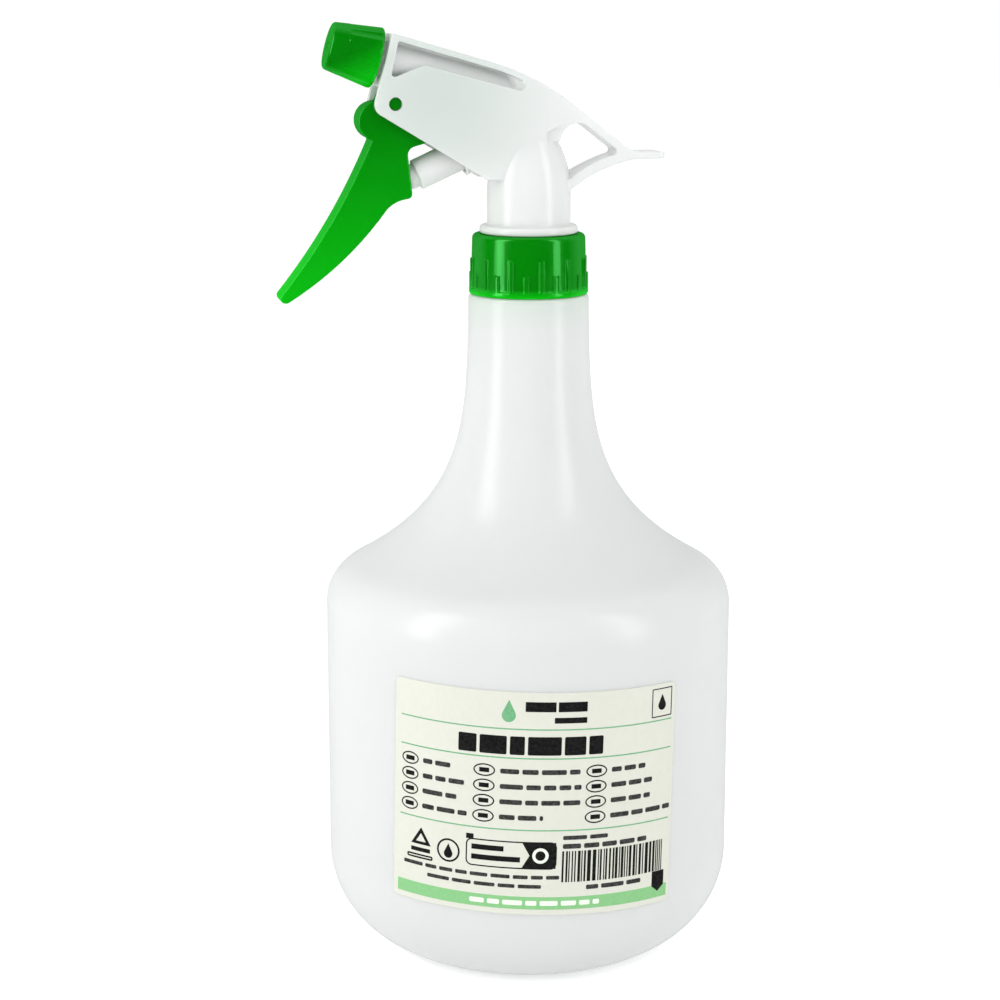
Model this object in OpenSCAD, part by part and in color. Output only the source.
// Trigger spray bottle: a blow-moulded one-litre bottle with a screw-on trigger head.
// The origin is the centre of the bottle's flat foot. +Z is up and the nozzle points to -X.
// The head is symmetrical about the XZ plane, so most of its shapes are drawn in X and Z.

/* [Bottle] */
// Diameter of the bottle's straight body
body_d = 110; // [106:1:114]
// Height from the foot to the shoulder under the collar
bottle_h = 179; // [177:1:181]
// Wall thickness of the bottle
bottle_wall = 1.0; // [0.8:0.1:1.2]

/* [Label] */
// Width of the label, along its chord
label_w = 72; // [60:1:80]
// Height of the label
label_h = 59.5; // [45:0.5:62]
// Direction in which the label faces, from -Y towards +X
label_facing = -10.4; // [-40:0.1:40]
// Clockwise tilt with which the label was stuck on
label_tilt = 1.7; // [0:0.1:3]

/* [Collar] */
// Height of the screw collar
collar_h = 16; // [15.5:0.1:16.5]
// Outside diameter of the collar's bottom band
collar_d = 31.8; // [31.4:0.1:32.2]
// Number of grip ribs, long and short in turn
collar_ribs = 24; // [12:2:30]

/* [Trigger head] */
// Width of the head over its two cheeks
head_w = 14.4; // [14:0.1:15]
// Width of the trigger
trigger_w = 10; // [9.6:0.1:10.2]
// Upward tilt of the barrel and nozzle
shot_tilt = 15; // [14.5:0.5:15.5]
// Upward tilt of the pump cylinder, from its mouth to its end
pump_tilt = 24; // [23:0.5:25]
// Inside diameter of the pump cylinder
pump_bore_d = 9.6; // [9.4:0.1:9.7]
// Outside diameter of the nozzle cap at its rear
cap_d = 16; // [15.4:0.1:16.4]

/* [Hidden] */

green = [0.0, 0.55, 0.05];
white = [0.93, 0.94, 0.93];
milky = [0.88, 0.90, 0.89];
cream = [0.93, 0.93, 0.84];
steel = [0.70, 0.71, 0.73];
soft_grey = [0.62, 0.64, 0.64];

$fn = 64;
eps = 0.01;
gap = 0.1; // space between parts that only rest against each other

// Bottle body, from the foot up
body_r = body_d / 2;
heel_r = 27;
heel_z = 26;
foot_corner_r = 3;
foot_turn = asin((heel_z - foot_corner_r) / (heel_r - foot_corner_r));
foot_r = body_r - heel_r + (heel_r - foot_corner_r) * cos(foot_turn);
foot_inner_r = foot_r - 6;
push_up = 3;
shoulder_r = 12;
shoulder_z = 95.2;
shoulder_turn = 59.6;
flare_z = 106.7;
flare_swell = body_r - 8 - 16;
flare_end_r = 16;
flare_end_z = bottle_h - 1;

// Bottle finish: a 28 mm screw neck
finish_root_r = 12.55;
finish_crest_r = 13.7;
finish_bore_r = 10.5;
finish_h = 10.4;
lip_z = bottle_h + finish_h;
screw_pitch = 4.2;
screw_turns = 1.25;
screw_z = bottle_h + 2.8;

// Collar and what it clamps
collar_top_z = bottle_h + collar_h;
collar_wall_r = 14.1;
collar_thread_r = 12.95;
collar_roof = 1.7;
collar_hole_r = 11.5;
gasket_t = 1.0;
flange_t = collar_top_z - collar_roof - lip_z - gasket_t - 3 * gap;
flange_z = lip_z + gasket_t + 2 * gap;

// Head: neck, riser and the barrel's axis, which crosses the bottle's axis at shot_z
neck_r = 11.1;
neck_bore_r = 9.5;
neck_straight_z = collar_top_z + 11;
riser_r = 7.1;
riser_z = neck_straight_z + 14;
riser_bore_r = 2.2;
stem_top_z = collar_top_z + 8;
head_foot_z = flange_z + flange_t + gap;
shot_z = collar_top_z + 34.93;
barrel_r = 4.9;
barrel_bore_r = 2.5;
front_plate_s = 40.5;
front_plate_t = 2.1;
nose_end_s = 51.4;
nose_r = 4.5;
nose_crest_r = 5.05;
nose_pitch = 2;
nose_turns = 2.5;
nose_thread_s = 43.6;
seat_s = 29;

// Roof of the head: a straight, an arc and the straight that becomes the rear loop's upper arm
roof_start = [-37.3, collar_top_z + 52.2];
roof_slope = [16, 37.5];
roof_straight = 26.5;
roof_arc_r = 70;
roof_end_straight = 19.2;
roof_t = 1.5;
arm_t = 2.1;
tail_x = 36.1;
tail_t = 1.8;
arm_w = 10;
web_w = 12.4;
lower_arm = [35.0, collar_top_z - 21.4]; // centre of its bend
lower_arm_r = 41.3;
lower_arm_t = 2.6;
cheek_t = 1.85;
cheek_rear_x = 3.2;
above_roof_z = roof_start[1] + 13;

// Trigger and its pins
pivot = [-36.6, collar_top_z + 34.3];
pin_r = 1.65;
pin_hole_r = 1.72;
pin_recess = 1; // depth of the pins' ends below the cheeks

// Pump: u runs along its axis from the cylinder's mouth inwards
pump_mouth = [-19.2, collar_top_z + 20.6];
pump_wall = 0.9;
pump_r = pump_bore_d / 2 + pump_wall;
pump_len = 14;
rod_r = 4.1;
rod_bore_r = 2.95;
rod_shoulder_u = -12.15;
rod_tip_u = -16.5;
rod_tip_r = 3.2;
spring_rest_u = -8;
seal_u = 1.4;
seal_len = 3.6;
seal_groove_r = 3.45;
vent_r = 0.5;
vent_len = 9;
vent_slope = 26;

// ---------------------------------------------------------------- helpers

// Points on an arc about c, from angle a0 to a1
function arc(c, r, a0, a1, n) =
    [for (i = [0:n]) let (a = a0 + (a1 - a0) * i / n) c + r * [cos(a), sin(a)]];

// Points on a shallow arc from p to q that bows out to the left by h
function bow(p, q, h, n) =
    let (d = (q - p) / norm(q - p), left = [-d[1], d[0]], half = norm(q - p) / 2)
    let (r = (half * half + h * h) / (2 * h), a = asin(half / r))
    let (c = (p + q) / 2 + (h - r) * left)
    [for (i = [0:n]) let (t = a * (2 * i / n - 1)) c + r * (sin(t) * d + cos(t) * left)];

function reversed(list) = [for (i = [len(list) - 1:-1:0]) list[i]];
function last(list) = list[len(list) - 1];

// The list from item i on
function from(list, i) = [for (k = [i:len(list) - 1]) list[k]];

// Draws a shape given in X and Z, w wide and centred on the XZ plane
module side_slab(w) {
    translate([0, w / 2, 0]) rotate([90, 0, 0]) linear_extrude(w) children();
}

// Places children with +Z forwards along the barrel's axis and +X upwards from it
module on_shot_axis(s = 0) {
    translate([0, 0, shot_z]) rotate([0, shot_tilt - 90, 0]) translate([0, 0, s]) children();
}

// Places children with +Z inwards along the pump's axis
module on_pump_axis(u = 0) {
    translate([pump_mouth[0], 0, pump_mouth[1]]) rotate([0, 90 - pump_tilt, 0])
        translate([0, 0, u]) children();
}

// The point in X and Z that is s along the barrel's axis and h above it
function shot_point(s, h) =
    [-s * cos(shot_tilt) + h * sin(shot_tilt), shot_z + s * sin(shot_tilt) + h * cos(shot_tilt)];

// The point in X and Z that is u along the pump's axis and v above it
function pump_point(u, v) =
    pump_mouth + [u * cos(pump_tilt) - v * sin(pump_tilt), u * sin(pump_tilt) + v * cos(pump_tilt)];

// A tube from z0 to z1
module tube(r_out, r_in, z0, z1) {
    translate([0, 0, z0]) difference() {
        cylinder(r = r_out, h = z1 - z0);
        translate([0, 0, -1]) cylinder(r = r_in, h = z1 - z0 + 2);
    }
}

// A helical thread ridge from z = 0 up, with its root sunk in the wall and both ends faded out
module thread(root_r, crest_r, pitch, turns, root_w, crest_w) {
    steps = round(24 * turns);
    sink = crest_r > root_r ? -0.3 : 0.3;
    rows = [for (i = [0:steps])
        let (a = 360 * turns * i / steps, z = pitch * turns * i / steps)
        let (fade = max(0.1, min(1, i / 3, (steps - i) / 3)))
        let (crest = root_r + (crest_r - root_r) * fade, inner = root_r + sink)
        [[inner * cos(a), inner * sin(a), z - root_w / 2],
         [crest * cos(a), crest * sin(a), z - crest_w / 2],
         [crest * cos(a), crest * sin(a), z + crest_w / 2],
         [inner * cos(a), inner * sin(a), z + root_w / 2]]];
    sides = [for (i = [0:steps - 1], k = [0:3])
        [4 * i + k, 4 * i + (k + 1) % 4, 4 * i + 4 + (k + 1) % 4, 4 * i + 4 + k]];
    ends = [[3, 2, 1, 0], [for (k = [0:3]) 4 * steps + k]];
    wound = concat(sides, ends);
    faces = crest_r > root_r ? wound : [for (f = wound) [for (k = [3:-1:0]) f[k]]];
    polyhedron(points = [for (row = rows) each row], faces = faces, convexity = 6);
}

// A coil spring from z = 0 to z = len, wound from round wire
module coil(mean_r, wire_r, len, turns) {
    across = 6;
    steps = round(16 * turns);
    rise = len - 2 * wire_r;
    rows = [for (i = [0:steps], k = [0:across - 1])
        let (a = 360 * turns * i / steps, b = 360 * k / across, r = mean_r + wire_r * cos(b))
        [r * cos(a), r * sin(a), wire_r + rise * i / steps + wire_r * sin(b)]];
    sides = [for (i = [0:steps - 1], k = [0:across - 1]) let (n = (k + 1) % across)
        [across * i + k, across * (i + 1) + k, across * (i + 1) + n, across * i + n]];
    first = [for (k = [0:across - 1]) k];
    final = [for (k = [across - 1:-1:0]) across * steps + k];
    polyhedron(points = rows, faces = concat(sides, [first, final]), convexity = 10);
}

// ---------------------------------------------------------------- bottle

// Radius of the long flare, s above its start
function flare(s) = flare_end_r + flare_swell * exp(-0.055 * s - 0.0004 * s * s);

// The bottle's side from the foot to the top of the flare, moved inwards by t
function bottle_side(t) = concat(
    arc([foot_r, foot_corner_r], foot_corner_r - t, -90, -foot_turn, 3),
    arc([body_r - heel_r, heel_z], heel_r - t, -foot_turn, 0, 12),
    arc([body_r - shoulder_r, shoulder_z], shoulder_r - t, 0, shoulder_turn, 7),
    [for (i = [0:18]) let (s = (flare_end_z - flare_z) * i / 18) [flare(s) - t, flare_z + s]]
);

// The cavity's outline, from the middle of the base up to the lip
function cavity_side() = concat(
    [[0, push_up + bottle_wall], [foot_inner_r - 3, push_up - 1 + bottle_wall],
     [foot_inner_r + 1, bottle_wall]],
    bottle_side(bottle_wall),
    [[finish_bore_r, bottle_h + 1.4], [finish_bore_r, lip_z]]
);

module bottle() color(milky) {
    lip_round = 0.5;
    rotate_extrude() polygon(concat(
        [[0, push_up], [foot_inner_r - 3, push_up - 1], [foot_inner_r, 0]],
        bottle_side(0),
        arc([flare_end_r - 1, bottle_h - 1], 1, 0, 90, 4),
        [[finish_root_r, bottle_h]],
        arc([finish_root_r - lip_round, lip_z - lip_round], lip_round, 0, 90, 3),
        reversed(cavity_side())
    ));
    translate([0, 0, screw_z]) thread(finish_root_r, finish_crest_r, screw_pitch, screw_turns, 1.9, 1.1);
}

// Film label: the part of a thin sleeve that a tilted rectangle covers
module label() color(cream) {
    film = 0.15;
    stand_off = 0.02;
    middle_z = 54.6;
    corner_r = 1.5;
    intersection() {
        tube(body_r + stand_off + film, body_r + stand_off, 15, 95);
        rotate([0, 0, label_facing]) translate([0, 0, middle_z]) rotate([0, label_tilt, 0])
            rotate([90, 0, 0]) linear_extrude(body_r + 5) rounded_rect(label_w, label_h, corner_r);
    }
}

module rounded_rect(w, h, r) {
    square([w - 2 * r, h], center = true);
    square([w, h - 2 * r], center = true);
    for (x = [-1, 1], z = [-1, 1]) translate([x * (w / 2 - r), z * (h / 2 - r)]) circle(r);
}

// ---------------------------------------------------------------- collar and gasket

module screw_collar() color(green) {
    band_h = 1.7;
    skirt_r = collar_d / 2 - 0.5;
    top_r = collar_d / 2 - 0.85;
    edge_r = 1.2;
    rib_w = 1.05;
    difference() {
        union() {
            translate([0, 0, bottle_h]) rotate_extrude() polygon(concat(
                [[0, gap]],
                arc([collar_d / 2 - 0.4, gap + 0.4], 0.4, -90, 0, 3),
                arc([collar_d / 2 - 0.4, band_h - 0.4], 0.4, 0, 90, 3),
                [[skirt_r, band_h]],
                arc([top_r - edge_r, collar_h - edge_r], edge_r, 0, 90, 5),
                [[0, collar_h]]
            ));
            for (i = [0:collar_ribs - 1]) {
                rib_h = collar_h * (i % 2 == 0 ? 0.61 : 0.36);
                rotate([0, 0, 360 * i / collar_ribs]) translate([skirt_r - 1, -rib_w / 2, bottle_h + 1])
                    cube([1.45, rib_w, rib_h - 1]);
            }
        }
        translate([0, 0, bottle_h - 1]) cylinder(r = collar_wall_r, h = collar_h - collar_roof + 1);
        translate([0, 0, bottle_h]) cylinder(r = collar_hole_r, h = collar_h + 1);
    }
    translate([0, 0, screw_z + screw_pitch / 2])
        thread(collar_wall_r, collar_thread_r, screw_pitch, screw_turns, 1.9, 1.1);
}

module neck_gasket() color(soft_grey) {
    tube(finish_root_r + 0.5, finish_bore_r, lip_z + gap, lip_z + gap + gasket_t);
}

// ---------------------------------------------------------------- sprayer body

// The roof's line at slope a degrees, moved down by t
roof_arc_centre = roof_start + roof_straight * [cos(roof_slope[0]), -sin(roof_slope[0])]
    - roof_arc_r * [sin(roof_slope[0]), cos(roof_slope[0])];
function roof_arc_point(a, t) = roof_arc_centre + (roof_arc_r - t) * [sin(a), cos(a)];
function roof_line(t) = concat(
    [roof_start - t * [sin(roof_slope[0]), cos(roof_slope[0])]],
    [for (i = [0:8]) roof_arc_point(roof_slope[0] + (roof_slope[1] - roof_slope[0]) * i / 8, t)],
    [roof_arc_point(roof_slope[1], t)
        + roof_end_straight * [cos(roof_slope[1]), -sin(roof_slope[1])]]
);

// Height at x of the roof's last straight, moved down by t
function rear_slope_z(x, t) =
    let (from = roof_arc_point(roof_slope[1], t)) from[1] - (x - from[0]) * tan(roof_slope[1]);

// Everything below the roof's top surface, in X and Z
module under_roof() {
    front_x = -60;
    rear_x = 27;
    polygon(concat(roof_line(0.2), [[rear_x, bottle_h], [front_x, bottle_h], [front_x, roof_start[1]]]));
}

// Plan of the roof and rear loop: full width over the cheeks, narrowing to the tail
module plan_outline() {
    half = head_w / 2;
    tail_r = 1.5;
    end_x = tail_x - tail_r;
    polygon(concat(
        [[-50, -half], [cheek_rear_x, -half], [16, -arm_w / 2]],
        arc([end_x, tail_r - arm_w / 2], tail_r, -90, 0, 4),
        arc([end_x, arm_w / 2 - tail_r], tail_r, 0, 90, 4),
        [[16, arm_w / 2], [cheek_rear_x, half], [-50, half]]
    ));
}

// Roof, rear loop and tail tab, seen from the side
module roof_and_loop() {
    thick_from = 4; // the point of the roof's line from which the upper arm's thickness starts
    roof_end = last(roof_line(0));
    tail_z = roof_end[1] - tail_t - 0.3;
    tail_root_x = roof_end[0] - 2;
    polygon(concat(roof_line(0), reversed(roof_line(roof_t))));
    polygon(concat(from(roof_line(0), thick_from), reversed(from(roof_line(arm_t), thick_from))));
    polygon(concat(
        arc(lower_arm, lower_arm_r, 128, 100, 10),
        [[roof_end[0] + 2.5, tail_z], [roof_end[0] + 2.5, tail_z + tail_t]],
        arc(lower_arm, lower_arm_r + lower_arm_t, 101, 128, 10)
    ));
    translate([tail_root_x, tail_z]) square([tail_x - tail_t / 2 - tail_root_x, tail_t]);
    translate([tail_x - tail_t / 2, tail_z + tail_t / 2]) circle(tail_t / 2);
    rear_fillet(0.9);
}

// Round corner of radius r where the loop's two arms meet
module rear_fillet(r) {
    along = [cos(roof_slope[1]), -sin(roof_slope[1])];
    start = roof_arc_point(roof_slope[1], arm_t + r);
    reach = start - lower_arm;
    b = along * reach;
    c = reach * reach - pow(lower_arm_r + lower_arm_t + r, 2);
    centre = start + (-b - sqrt(b * b - c)) * along;
    down = lower_arm - centre;
    polygon(concat(arc(centre, r, 90 - roof_slope[1], atan2(down[1], down[0]), 6), [centre + [5, -1.2]]));
}

// Web that rounds the loop's front corner, between the riser and the upper arm
module corner_web() {
    corner_r = 4.8;
    corner_x = riser_r + corner_r;
    corner_z = rear_slope_z(corner_x, arm_t) - corner_r / cos(roof_slope[1]);
    end_x = 16;
    polygon(concat(
        [[0, corner_z], [riser_r, corner_z]],
        arc([corner_x, corner_z], corner_r, 180, 90 - roof_slope[1], 8),
        [[end_x, rear_slope_z(end_x, 0.5)], roof_arc_point(30, 0.5), roof_arc_point(26, 0.5)]
    ));
}

// The part of the web that is as wide as the roof above it
module wide_web() {
    low_z = collar_top_z + 26.6;
    intersection() {
        corner_web();
        polygon([[0, low_z], [cheek_rear_x, low_z], [cheek_rear_x + 8, low_z + 3.6], [30, shot_z],
            [30, above_roof_z], [-5, above_roof_z]]);
    }
}

// Window in a cheek that shows the barrel: deep behind the front plate, then a band under the roof
module cheek_window() {
    front_s = 38.8;
    deep_h = -3.4;
    band_h = 1.5;
    polygon([shot_point(front_s, 12), shot_point(front_s - 0.8, deep_h), shot_point(front_s - 1.9, deep_h),
        shot_point(30.3, band_h), shot_point(4, band_h), shot_point(2.3, 3.8), shot_point(-2, 9)]);
}

// One cheek seen from the side
module cheek_outline() {
    corner_r = 3;
    corner = shot_point(front_plate_s - corner_r, -10.9);
    lower_turn = 31.2;
    start = corner + corner_r * [-sin(lower_turn), -cos(lower_turn)];
    neck_x = -8;
    low_x = -12.5;
    low_z = start[1] - (low_x - start[0]) * tan(lower_turn);
    difference() {
        intersection() {
            polygon(concat(
                [[-30, above_roof_z], shot_point(front_plate_s, 12)],
                arc(corner, corner_r, 180 - shot_tilt, 270 - lower_turn, 5),
                [[low_x, low_z], [neck_x, low_z], [neck_x, neck_straight_z], [cheek_rear_x, neck_straight_z],
                 [cheek_rear_x, above_roof_z]]
            ));
            under_roof();
        }
        cheek_window();
    }
}

// Neck, ogive shoulder and riser housing, all round
module neck_and_riser() {
    ogive = riser_z - neck_straight_z;
    ogive_in = neck_r - riser_r;
    ogive_r = (ogive * ogive + ogive_in * ogive_in) / (2 * ogive_in);
    ring_r = 13.1;
    ring_h = 2.2;
    ring_z = collar_top_z + gap;
    rotate_extrude() polygon(concat(
        [[0, head_foot_z], [neck_r - 0.1, head_foot_z], [neck_r - 0.1, ring_z]],
        arc([ring_r - 0.4, ring_z + 0.4], 0.4, -90, 0, 3),
        arc([ring_r - 0.9, ring_z + ring_h - 0.9], 0.9, 0, 90, 4),
        [[neck_r + 0.3, ring_z + ring_h], [neck_r, ring_z + ring_h + 0.4]],
        arc([neck_r - ogive_r, neck_straight_z], ogive_r, 0, asin(ogive / ogive_r), 10),
        [[riser_r, above_roof_z], [0, above_roof_z]]
    ));
}

// Wall behind the nozzle, seen from the side
module front_plate() {
    low_h = -6.9;
    high_h = 12;
    rear_s = front_plate_s - front_plate_t;
    intersection() {
        polygon([shot_point(front_plate_s, low_h), shot_point(front_plate_s, high_h),
            shot_point(rear_s, high_h), shot_point(rear_s, low_h)]);
        under_roof();
    }
}

// Rib between the barrel and the roof
module barrel_rib() {
    rear_s = 3;
    front_s = front_plate_s - 1.5;
    low_h = 4;
    polygon([shot_point(rear_s, low_h), shot_point(front_s, low_h), shot_point(front_s, low_h + 1.8),
        shot_point(rear_s, low_h + 1.2)]);
}

module sprayer_body() color(white) {
    cheek_y = (head_w - cheek_t) / 2;
    difference() {
        union() {
            intersection() {
                union() {
                    side_slab(head_w) roof_and_loop();
                    side_slab(head_w) wide_web();
                    side_slab(web_w) corner_web();
                }
                linear_extrude(above_roof_z) plan_outline();
            }
            for (side = [-1, 1]) translate([0, side * cheek_y, 0]) side_slab(cheek_t) cheek_outline();
            intersection() {
                neck_and_riser();
                side_slab(30) under_roof();
            }
            side_slab(head_w) front_plate();
            on_shot_axis() cylinder(r = barrel_r, h = front_plate_s);
            on_shot_axis(front_plate_s - 1) cylinder(r = nose_r, h = nose_end_s - front_plate_s + 1);
            on_shot_axis(nose_thread_s) thread(nose_r, nose_crest_r, nose_pitch, nose_turns, 1, 0.5);
            side_slab(3) barrel_rib();
            on_pump_axis() cylinder(r = pump_r, h = pump_len + 1.5);
            on_vent_axis() cylinder(r = vent_r + 0.8, h = vent_len);
        }
        neck_bores();
        barrel_bores();
        pump_bores();
        for (side = [-1, 1]) translate([pivot[0], side * cheek_y, pivot[1]]) rotate([90, 0, 0])
            cylinder(r = pin_hole_r, h = cheek_t + 1, center = true);
    }
    ball_stop();
}

// Hollow neck round a central riser tube, and the riser's bore up to the barrel
module neck_bores() {
    hollow_top_z = neck_straight_z + 8;
    riser_tube_r = 3.9;
    difference() {
        rotate_extrude() polygon([[0, head_foot_z - 1], [neck_bore_r, head_foot_z - 1],
            [neck_bore_r, neck_straight_z], [5.2, hollow_top_z], [0, hollow_top_z]]);
        tube(riser_tube_r, riser_bore_r, stem_top_z + gap, hollow_top_z + 1);
    }
    translate([0, 0, stem_top_z]) cylinder(r = riser_bore_r, h = shot_z + 0.8 - stem_top_z);
}

// Barrel bore: narrow from the riser, a cone seat, then wide to the nose
module barrel_bores() {
    narrow_r = 1.4;
    seat_len = 1.5;
    on_shot_axis() cylinder(r = narrow_r, h = seat_s + 1);
    on_shot_axis(seat_s) cylinder(r1 = narrow_r, r2 = barrel_bore_r, h = seat_len);
    on_shot_axis(seat_s + seat_len - eps) cylinder(r = barrel_bore_r, h = nose_end_s);
}

// Pump bore, its port into the riser, and the air vent into the neck
module pump_bores() {
    port_r = 1.2;
    on_pump_axis(-1) cylinder(r = pump_bore_d / 2, h = pump_len + 1);
    on_pump_axis(pump_len - 1) cylinder(r = port_r, h = 9);
    on_vent_axis() cylinder(r = vent_r, h = vent_len);
}

// Places children with +Z along the air vent. It starts between the seal's lips at rest and is
// open to the air once the seal has moved past it.
module on_vent_axis() {
    start = pump_point(seal_u + seal_len / 2, 1.2 - pump_bore_d / 2);
    translate([start[0], 0, start[1]]) rotate([0, 90 + vent_slope, 0]) children();
}

// Cross bar in the riser that keeps the intake ball in its chamber
module ball_stop() {
    bar_z = stem_top_z + 0.6;
    translate([-riser_bore_r - 0.5, -0.4, bar_z]) cube([2 * riser_bore_r + 1, 0.8, 0.8]);
}

// ---------------------------------------------------------------- intake side

intake_seat_r = 1.5;
intake_chamber_r = 2.6;
intake_seat_z = collar_top_z + 3;
intake_seat_len = 1.5;
intake_ball_r = 2;

// Flanged stem that plugs into the neck, traps the collar, seats the ball and holds the dip tube
module intake_stem() color(white) {
    socket_r = 2.8;
    socket_mouth_z = bottle_h - 3;
    socket_end_z = intake_seat_z - 2;
    outer_r = 3.9;
    spigot_r = neck_bore_r - 0.05;
    difference() {
        union() {
            translate([0, 0, flange_z]) cylinder(r = finish_root_r + 0.5, h = flange_t);
            tube(spigot_r, spigot_r - 1.1, flange_z + 0.5, stem_top_z - 3);
            translate([0, 0, flange_z]) cylinder(r = outer_r, h = stem_top_z - flange_z);
            translate([0, 0, socket_mouth_z]) cylinder(r = outer_r + 0.1, h = flange_z - socket_mouth_z + 1);
        }
        translate([0, 0, socket_mouth_z - 1]) cylinder(r = socket_r, h = socket_end_z - socket_mouth_z + 1);
        translate([0, 0, intake_seat_z - 3]) cylinder(r = intake_seat_r, h = 4);
        translate([0, 0, intake_seat_z])
            cylinder(r1 = intake_seat_r, r2 = intake_chamber_r, h = intake_seat_len);
        translate([0, 0, intake_seat_z + intake_seat_len - eps]) cylinder(r = intake_chamber_r, h = 10);
        for (a = [90, 270]) rotate([0, 0, a]) translate([6.2, 0, flange_z - 1]) cylinder(r = 0.8, h = 5);
    }
}

// Height of a ball's centre above the small end of the cone seat that it rests in
function ball_rest(ball_r, small_r, large_r, len) =
    let (half_angle = atan((large_r - small_r) / len))
    ball_r / sin(half_angle) - small_r / tan(half_angle) + 0.02;

module intake_ball() color(steel) {
    rest = ball_rest(intake_ball_r, intake_seat_r, intake_chamber_r, intake_seat_len);
    translate([0, 0, intake_seat_z + rest]) sphere(r = intake_ball_r);
}

// Dip tube, cut at a slant at its foot so that it can't seal against the bottle
module dip_tube() color(milky) {
    top_z = intake_seat_z - 2 - gap;
    bottom_z = 8;
    slant = 35;
    cutter = 12;
    difference() {
        tube(2.75, 2.0, bottom_z, top_z);
        translate([0, 0, bottom_z]) rotate([0, slant, 0]) translate([0, 0, 1 - cutter / 2])
            cube(cutter, center = true);
    }
}

// ---------------------------------------------------------------- trigger and pump

lobe_r = 5;
lobe = pivot + [-4.3, -4.4];
blade_top = pivot + [-5.8, -9.0];
blade_tip = pivot + [-30.3, -49.2];
heel = pivot + [3.3, -23.2];

// The trigger's outline: finger blade, heel, concave corner and the arm inside the cheeks
module trigger_outline() {
    head_r = 4;
    knuckle_r = 1.3;
    tip_r = 1.2;
    under_tip = pivot + [-28.6, -51.1];
    under_heel = pivot + [-2.0, -27.0];
    corner = pivot + [5.6, -13.1];
    corner_r = 2.1;
    nub = pivot + [9.8, -8.1];
    nub_r = 1.5;
    polygon(concat(
        [pivot + [-4, 0], lobe + [0, 3]],
        bow(blade_top, blade_tip, 1.67, 12),
        arc(blade_tip + [tip_r, -tip_r / 2], tip_r, 190, 300, 4),
        bow(under_tip, under_heel, -1.8, 10),
        bow(under_heel, heel + [0, -knuckle_r], 0.5, 4),
        arc(heel, knuckle_r, -80, 0, 4),
        arc(corner, corner_r, 190, 100, 4),
        [nub + [0.4, -nub_r]],
        arc(nub, nub_r, -70, 40, 4),
        [pivot + [3.2, 2.6]]
    ));
    translate(pivot) circle(head_r);
    translate(lobe) circle(lobe_r);
}

module trigger() color(green) {
    side_wall = 1.7;
    inner_w = trigger_w - 2 * side_wall;
    socket_u = rod_tip_u - 0.05;
    difference() {
        side_slab(trigger_w) trigger_outline();
        side_slab(inner_w) polygon(concat(
            bow(blade_top + [4.5, -15.5], blade_tip + [3.3, 3.1], 0.7, 8),
            [pivot + [-21.4, -52.3], pivot + [1.6, -30.3], pivot + [3.6, -25.9]]
        ));
        side_slab(inner_w) polygon([pump_point(socket_u, -3.8), pump_point(0, -3.8),
            pump_point(0, 4.2), pump_point(socket_u, 4.2)]);
    }
    translate([pivot[0], 0, pivot[1]]) rotate([90, 0, 0])
        cylinder(r = pin_r, h = head_w - 2 * pin_recess, center = true);
}

// Hollow plunger: round nose towards the trigger, open end round the spring
module piston_rod() color(white) {
    rim_len = 0.8;
    end_u = seal_u + seal_len + rim_len;
    on_pump_axis() difference() {
        rotate_extrude() polygon(concat(
            [[0, rod_tip_u]],
            [for (a = [20:14:90]) [rod_tip_r * sin(a), rod_tip_u + rod_tip_r * (1 - cos(a))]],
            [[rod_tip_r, rod_shoulder_u], [rod_r - 0.3, rod_shoulder_u], [rod_r, rod_shoulder_u + 0.3],
             [rod_r, seal_u - 0.05], [seal_groove_r, seal_u - 0.05],
             [seal_groove_r, seal_u + seal_len + 0.05], [rod_r, seal_u + seal_len + 0.05],
             [rod_r, end_u], [0, end_u]]
        ));
        translate([0, 0, spring_rest_u]) cylinder(r = rod_bore_r, h = 40);
    }
}

// Soft ring with a lip at each end that wipes the cylinder
module piston_seal() color(soft_grey) {
    lip_r = pump_bore_d / 2 - 0.03;
    waist_r = lip_r - 0.45;
    on_pump_axis(seal_u) difference() {
        rotate_extrude() polygon([[0, 0], [lip_r - 0.1, 0], [lip_r, 0.2], [waist_r, 1.1],
            [waist_r, seal_len - 1.1], [lip_r, seal_len - 0.2], [lip_r - 0.1, seal_len], [0, seal_len]]);
        translate([0, 0, -1]) cylinder(r = seal_groove_r + 0.03, h = seal_len + 2);
    }
}

module return_spring() color(steel) {
    wire_r = 0.4;
    on_pump_axis(spring_rest_u + gap / 2)
        coil(rod_bore_r - 0.15 - wire_r, wire_r, pump_len - spring_rest_u - gap, 9);
}

// ---------------------------------------------------------------- outlet and nozzle

outlet_ball_r = 1.9;
core_tail_s = 39;
spring_s = seat_s + 2.95;

module outlet_ball() color(steel) {
    rest = ball_rest(outlet_ball_r, 1.4, barrel_bore_r, 1.5);
    on_shot_axis(seat_s + rest) sphere(r = outlet_ball_r);
}

module outlet_spring() color(steel) {
    wire_r = 0.2;
    on_shot_axis(spring_s) coil(1.3, wire_r, core_tail_s - gap / 2 - spring_s, 6);
}

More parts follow.
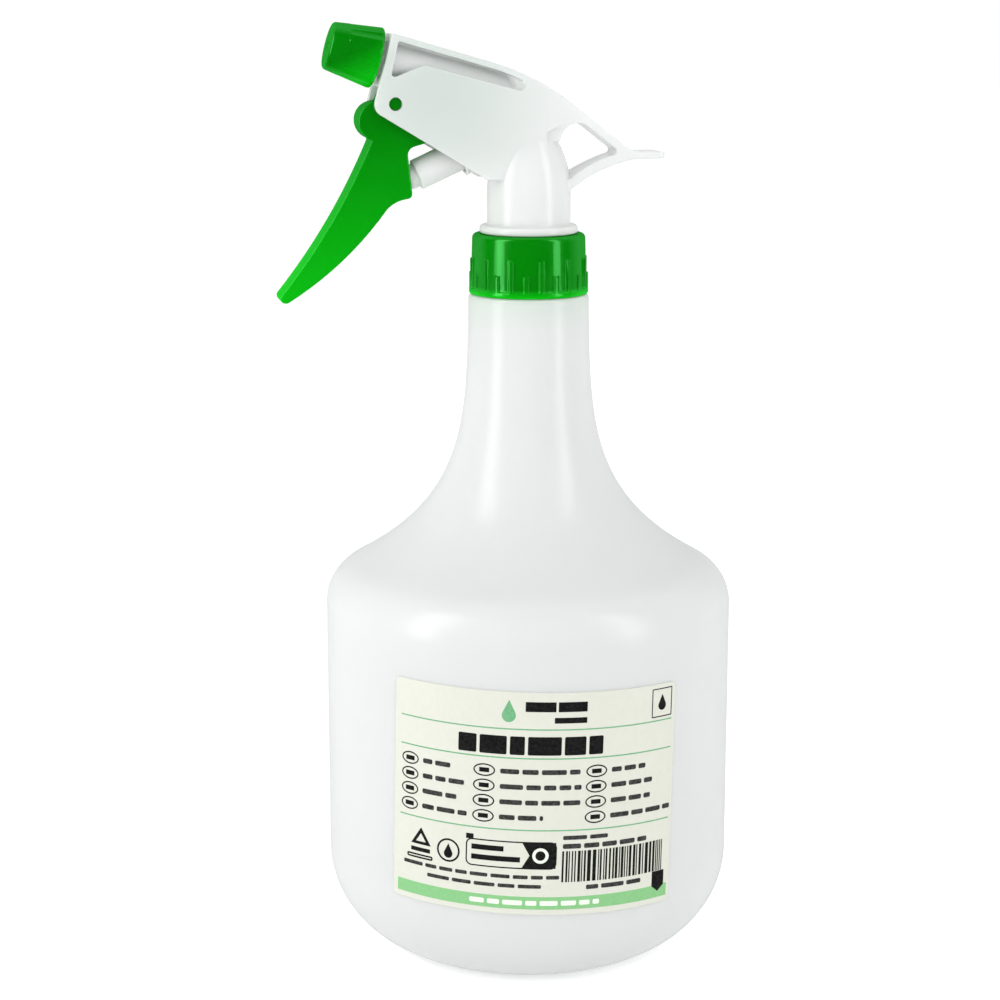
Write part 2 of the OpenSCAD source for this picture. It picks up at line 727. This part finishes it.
// Plug in the nose: side flutes carry the liquid to two swirl slots across its face
module swirl_core() color(white) {
    plug_r = barrel_bore_r - 0.03;
    front_s = nose_end_s + 1.1;
    on_shot_axis() difference() {
        translate([0, 0, core_tail_s]) cylinder(r = plug_r, h = front_s - core_tail_s);
        for (a = [0:120:240]) rotate([0, 0, a]) translate([plug_r, 0, core_tail_s - 1])
            cylinder(r = 0.7, h = front_s - core_tail_s + 2);
        for (side = [-1, 1]) translate([side * 0.9, side * 1.5, front_s])
            cube([0.6, 3.2, 0.8], center = true);
        translate([0, 0, front_s - 0.4]) cylinder(r = 1, h = 1);
    }
}

cap_rear_s = 41.6;
cap_front_s = 55;
cap_face_s = 53;
cap_bore_r = nose_crest_r + 0.3;

// Tapered nozzle cap: a threaded bore behind a front wall with the orifice
module nozzle_cap() color(green) {
    rear_r = cap_d / 2;
    front_r = rear_r - 1.75;
    edge_r = 1;
    flutes = 16;
    flute_r = 4;
    flute_depth = 0.16;
    flute_len = 9.5;
    taper = atan((rear_r - front_r) / (cap_front_s - cap_rear_s));
    on_shot_axis() {
        difference() {
            rotate_extrude() polygon(concat(
                [[0, cap_rear_s]],
                arc([rear_r - edge_r, cap_rear_s + edge_r], edge_r, -90, 0, 5),
                arc([front_r - edge_r, cap_front_s - edge_r], edge_r, 0, 90, 5),
                [[0, cap_front_s]]
            ));
            translate([0, 0, cap_rear_s - 1]) cylinder(r = cap_bore_r, h = cap_face_s - cap_rear_s + 1);
            cylinder(r = 0.4, h = cap_front_s + 1);
            translate([0, 0, cap_front_s - 0.9]) cylinder(r1 = 0.4, r2 = 1.4, h = 1);
            for (i = [0:flutes - 1]) rotate([0, 0, 360 * i / flutes])
                translate([rear_r + flute_r - flute_depth, 0, cap_rear_s])
                rotate([0, -taper, 0]) translate([0, 0, -1]) cylinder(r = flute_r, h = flute_len + 1);
        }
        translate([0, 0, nose_thread_s + nose_pitch / 2])
            thread(cap_bore_r, nose_r + 0.25, nose_pitch, nose_turns, 1, 0.5);
    }
}

module nozzle_seal() color(soft_grey) {
    on_shot_axis() tube(cap_bore_r - 0.05, barrel_bore_r + 0.4, nose_end_s + gap, cap_face_s - gap / 2);
}

bottle();
label();
screw_collar();
neck_gasket();
sprayer_body();
intake_stem();
intake_ball();
dip_tube();
trigger();
piston_rod();
piston_seal();
return_spring();
outlet_ball();
outlet_spring();
swirl_core();
nozzle_cap();
nozzle_seal();
